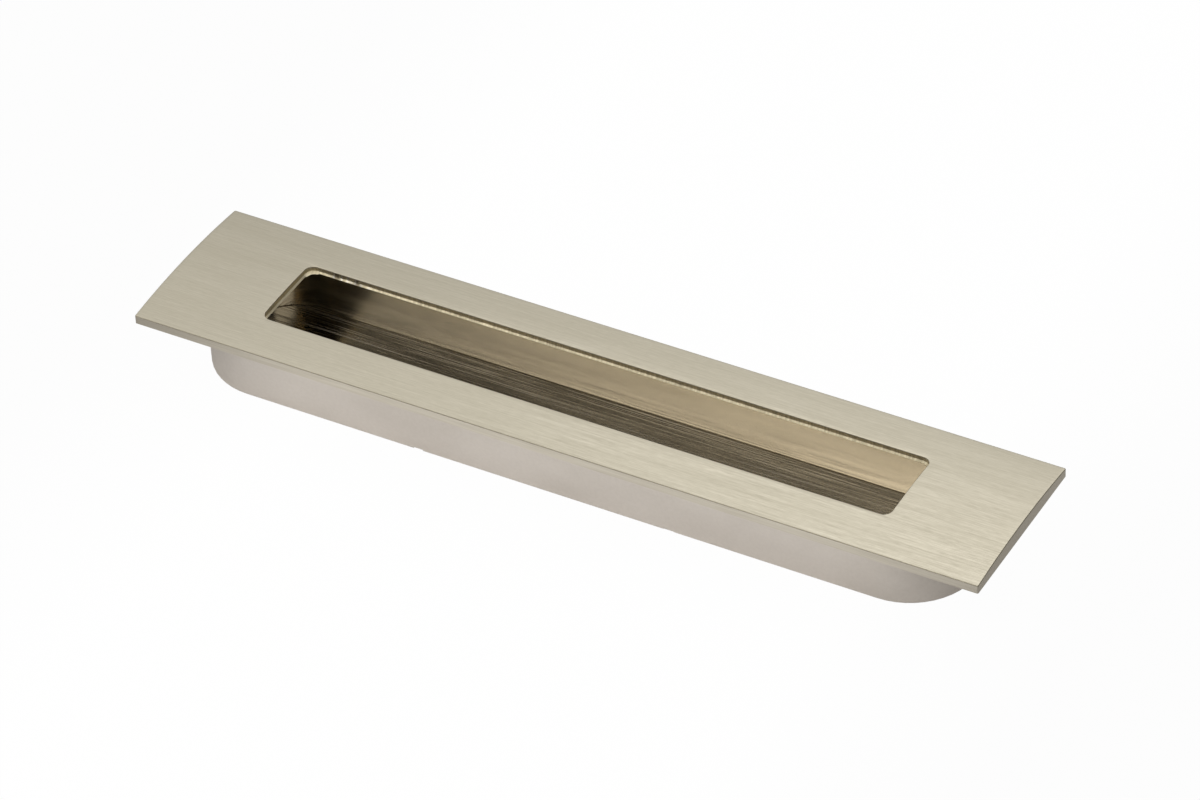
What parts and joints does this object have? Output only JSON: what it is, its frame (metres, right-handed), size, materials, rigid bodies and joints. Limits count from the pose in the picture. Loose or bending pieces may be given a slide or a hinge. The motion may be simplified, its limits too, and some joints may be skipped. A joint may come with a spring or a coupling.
{
  "type": "recessed pull handle",
  "caption": "Long flush pull with a crowned metal face plate, a rectangular finger opening and a skirt that drops into a routed pocket; a flat plate closes it below.",
  "frame": {"origin": "centre of the skirt's lower edge, on which the loose handle stands", "axes": "+X along the handle, +Y across it, +Z out of the door, the way the crowned face looks"},
  "size_m": [0.17, 0.035, 0.0141],
  "materials": {
    "brushed_nickel": "zinc alloy casting, nickel plated, its face brushed along the handle",
    "brushed_floor": "sheet steel plate, brushed along the handle, darker than the casting"
  },
  "bodies": {
    "root": {"handle_body": "brushed_nickel", "floor_plate": "brushed_floor"}
  },
  "joints": []
}
